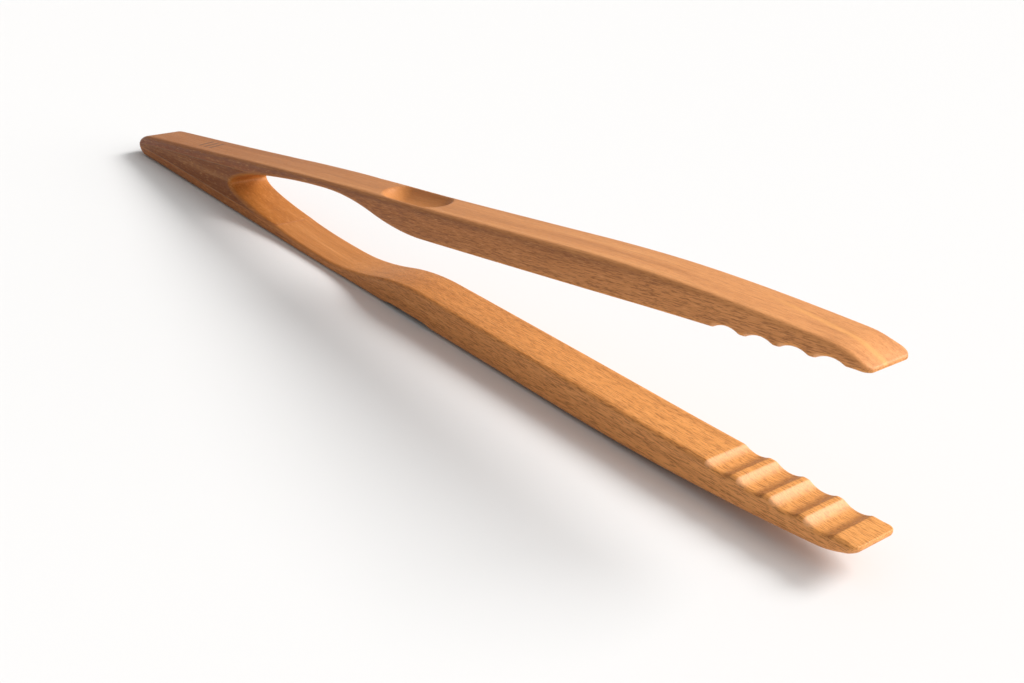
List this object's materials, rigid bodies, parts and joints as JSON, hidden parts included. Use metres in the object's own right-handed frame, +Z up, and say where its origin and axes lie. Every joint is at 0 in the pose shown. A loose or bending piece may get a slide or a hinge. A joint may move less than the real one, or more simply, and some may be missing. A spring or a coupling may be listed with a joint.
{
  "type": "spring loaded kitchen tongs",
  "caption": "Wooden spring tongs: two arms glued to a wedge, each with a thin flexing neck, a finger recess and a grooved jaw.",
  "frame": {"origin": "on the plane of the lower arm's flat outer face, below the middle of the tongs' length and width", "axes": "+X along the lower arm from the butt to the tips, +Y across the width, +Z up from the lower arm to the upper arm"},
  "size_m": [0.3, 0.0138, 0.0477],
  "materials": {
    "upper_arm_wood": "hand-rubbed oil, satin",
    "lower_arm_wood": "hand-rubbed oil, satin",
    "wedge_wood": "hand-rubbed oil, satin",
    "dried_glue": "dried, sanded flush"
  },
  "bodies": {
    "butt": {"wedge_block": "wedge_wood", "upper_glue_line": "dried_glue", "lower_glue_line": "dried_glue", "upper_heel": "upper_arm_wood", "lower_heel": "lower_arm_wood"},
    "upper_arm": {"upper_arm": "upper_arm_wood"},
    "lower_arm": {"lower_arm": "lower_arm_wood"}
  },
  "joints": [
    {"name": "upper_neck_bend", "type": "hinge", "parent": "butt", "child": "upper_arm", "pos_m": [-0.04386, 0, 0.021], "axis": [0, 1, 0], "range_deg": [0, 5.35], "stiffness_Nm_per_rad": 6.6},
    {"name": "lower_neck_bend", "type": "hinge", "parent": "butt", "child": "lower_arm", "pos_m": [-0.0424, 0, 0.00245], "axis": [0, -1, 0], "range_deg": [0, 5.35], "stiffness_Nm_per_rad": 6.6}
  ]
}
